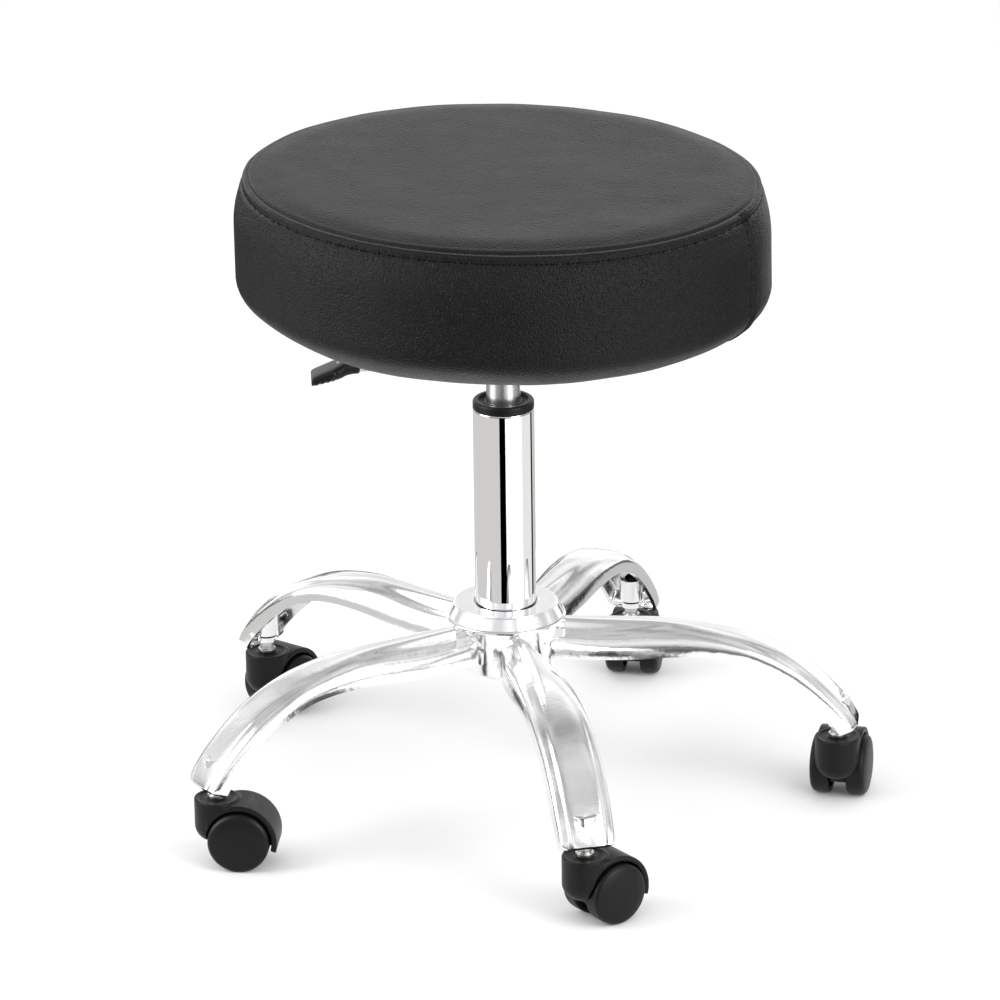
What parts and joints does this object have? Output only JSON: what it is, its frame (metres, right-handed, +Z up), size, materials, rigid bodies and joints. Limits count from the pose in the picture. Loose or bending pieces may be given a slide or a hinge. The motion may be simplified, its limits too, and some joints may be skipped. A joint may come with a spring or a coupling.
{
  "type": "swivel stool",
  "caption": "Round padded swivel stool with gas-lift height adjustment, release lever, polished star base and twin-wheel castors.",
  "frame": {"origin": "on the column's axis at floor level", "axes": "+Z up along the column, +X along arm 0 of the star base"},
  "size_m": [0.5432, 0.5893, 0.5359],
  "materials": {
    "upholstery": "satin pebbled black imitation leather",
    "foam": "open-cell seat foam",
    "plywood": "raw birch plywood",
    "dust_cloth": "black non-woven cloth",
    "black_steel": "black powder coat",
    "zinc_steel": "zinc plated",
    "polished_aluminium": "polished die casting",
    "chrome": "bright chrome plate",
    "black_plastic": "fine moulded texture",
    "lever_steel": "zinc plated rod",
    "bearing_steel": "ground and greased",
    "rubber": "matt rubber",
    "castor_nylon": "moulded black nylon with a soft sheen"
  },
  "bodies": {
    "base": {"star_base": "polished_aluminium", "column_tube": "chrome", "guide_bush": "black_plastic", "bearing_lower_race": "bearing_steel", "bearing_balls": "bearing_steel", "grip_rings": "bearing_steel", "castor_0_stem": "zinc_steel", "castor_1_stem": "zinc_steel", "castor_2_stem": "zinc_steel", "castor_3_stem": "zinc_steel", "castor_4_stem": "zinc_steel"},
    "rod": {"piston_rod": "chrome", "piston": "bearing_steel", "piston_seal": "rubber", "rubber_buffer": "rubber", "bearing_upper_race": "bearing_steel", "rod_clip": "zinc_steel"},
    "seat": {"seat_cover": "upholstery", "seat_foam": "foam", "seat_board": "plywood", "dust_cover": "dust_cloth", "cover_staples": "zinc_steel", "seat_plate": "black_steel", "mechanism_box": "black_steel", "cone_socket": "black_steel", "plate_bolts": "zinc_steel", "t_nuts": "zinc_steel", "lever_pin": "zinc_steel", "gas_cylinder": "chrome", "cylinder_gland": "bearing_steel"},
    "lever": {"lever_rod": "lever_steel", "lever_paddle": "black_plastic"},
    "button": {"release_button": "black_plastic"},
    "castor_0": {"castor_0_housing": "castor_nylon", "castor_0_axle": "zinc_steel"},
    "castor_0_wheel_left": {"castor_0_wheel_left": "castor_nylon"},
    "castor_0_wheel_right": {"castor_0_wheel_right": "castor_nylon"},
    "castor_1": {"castor_1_housing": "castor_nylon", "castor_1_axle": "zinc_steel"},
    "castor_1_wheel_left": {"castor_1_wheel_left": "castor_nylon"},
    "castor_1_wheel_right": {"castor_1_wheel_right": "castor_nylon"},
    "castor_2": {"castor_2_housing": "castor_nylon", "castor_2_axle": "zinc_steel"},
    "castor_2_wheel_left": {"castor_2_wheel_left": "castor_nylon"},
    "castor_2_wheel_right": {"castor_2_wheel_right": "castor_nylon"},
    "castor_3": {"castor_3_housing": "castor_nylon", "castor_3_axle": "zinc_steel"},
    "castor_3_wheel_left": {"castor_3_wheel_left": "castor_nylon"},
    "castor_3_wheel_right": {"castor_3_wheel_right": "castor_nylon"},
    "castor_4": {"castor_4_housing": "castor_nylon", "castor_4_axle": "zinc_steel"},
    "castor_4_wheel_left": {"castor_4_wheel_left": "castor_nylon"},
    "castor_4_wheel_right": {"castor_4_wheel_right": "castor_nylon"}
  },
  "joints": [
    {"name": "seat_swivel", "type": "hinge", "parent": "base", "child": "rod", "pos_m": [0, 0, 0.115], "axis": [0, 0, 1], "continuous": true},
    {"name": "seat_height", "type": "slide", "parent": "rod", "child": "seat", "axis": [0, 0, 1], "range_m": [0, 0.12]},
    {"name": "lever_lift", "type": "hinge", "parent": "seat", "child": "lever", "pos_m": [-0.03169, -0.00445, 0.39605], "axis": [-0.1392, 0.9903, 0], "range_deg": [0, 6], "stiffness_Nm_per_rad": 4, "springref_deg": -8.59},
    {"name": "button_press", "type": "slide", "parent": "seat", "child": "button", "axis": [0, 0, -1], "range_m": [0, 0.0038]},
    {"name": "castor_0_swivel", "type": "hinge", "parent": "base", "child": "castor_0", "pos_m": [0.272, 0, 0.057], "axis": [0, 0, 1], "continuous": true},
    {"name": "castor_0_spin_left", "type": "hinge", "parent": "castor_0", "child": "castor_0_wheel_left", "pos_m": [0.27464, 0.01881, 0.025], "axis": [-0.9903, 0.1392, 0], "continuous": true},
    {"name": "castor_0_spin_right", "type": "hinge", "parent": "castor_0", "child": "castor_0_wheel_right", "pos_m": [0.27464, 0.01881, 0.025], "axis": [-0.9903, 0.1392, 0], "continuous": true},
    {"name": "castor_1_swivel", "type": "hinge", "parent": "base", "child": "castor_1", "pos_m": [0.08405, 0.25869, 0.057], "axis": [0, 0, 1], "continuous": true},
    {"name": "castor_1_spin_left", "type": "hinge", "parent": "castor_1", "child": "castor_1_wheel_left", "pos_m": [0.08538, 0.27764, 0.025], "axis": [-0.9976, 0.0698, 0], "continuous": true},
    {"name": "castor_1_spin_right", "type": "hinge", "parent": "castor_1", "child": "castor_1_wheel_right", "pos_m": [0.08538, 0.27764, 0.025], "axis": [-0.9976, 0.0698, 0], "continuous": true},
    {"name": "castor_2_swivel", "type": "hinge", "parent": "base", "child": "castor_2", "pos_m": [-0.22005, 0.15988, 0.057], "axis": [0, 0, 1], "continuous": true},
    {"name": "castor_2_spin_left", "type": "hinge", "parent": "castor_2", "child": "castor_2_wheel_left", "pos_m": [-0.20998, 0.17599, 0.025], "axis": [-0.848, 0.5299, 0], "continuous": true},
    {"name": "castor_2_spin_right", "type": "hinge", "parent": "castor_2", "child": "castor_2_wheel_right", "pos_m": [-0.20998, 0.17599, 0.025], "axis": [-0.848, 0.5299, 0], "continuous": true},
    {"name": "castor_3_swivel", "type": "hinge", "parent": "base", "child": "castor_3", "pos_m": [-0.22005, -0.15988, 0.057], "axis": [0, 0, 1], "continuous": true},
    {"name": "castor_3_spin_left", "type": "hinge", "parent": "castor_3", "child": "castor_3_wheel_left", "pos_m": [-0.20105, -0.15988, 0.025], "axis": [0, 1, 0], "continuous": true},
    {"name": "castor_3_spin_right", "type": "hinge", "parent": "castor_3", "child": "castor_3_wheel_right", "pos_m": [-0.20105, -0.15988, 0.025], "axis": [0, 1, 0], "continuous": true},
    {"name": "castor_4_swivel", "type": "hinge", "parent": "base", "child": "castor_4", "pos_m": [0.08405, -0.25869, 0.057], "axis": [0, 0, 1], "continuous": true},
    {"name": "castor_4_spin_left", "type": "hinge", "parent": "castor_4", "child": "castor_4_wheel_left", "pos_m": [0.09817, -0.24597, 0.025], "axis": [-0.6691, 0.7431, 0], "continuous": true},
    {"name": "castor_4_spin_right", "type": "hinge", "parent": "castor_4", "child": "castor_4_wheel_right", "pos_m": [0.09817, -0.24597, 0.025], "axis": [-0.6691, 0.7431, 0], "continuous": true}
  ],
  "couplings": [
    {"joint": "button_press", "follows": "lever_lift", "m_per_rad": 0.0346}
  ]
}
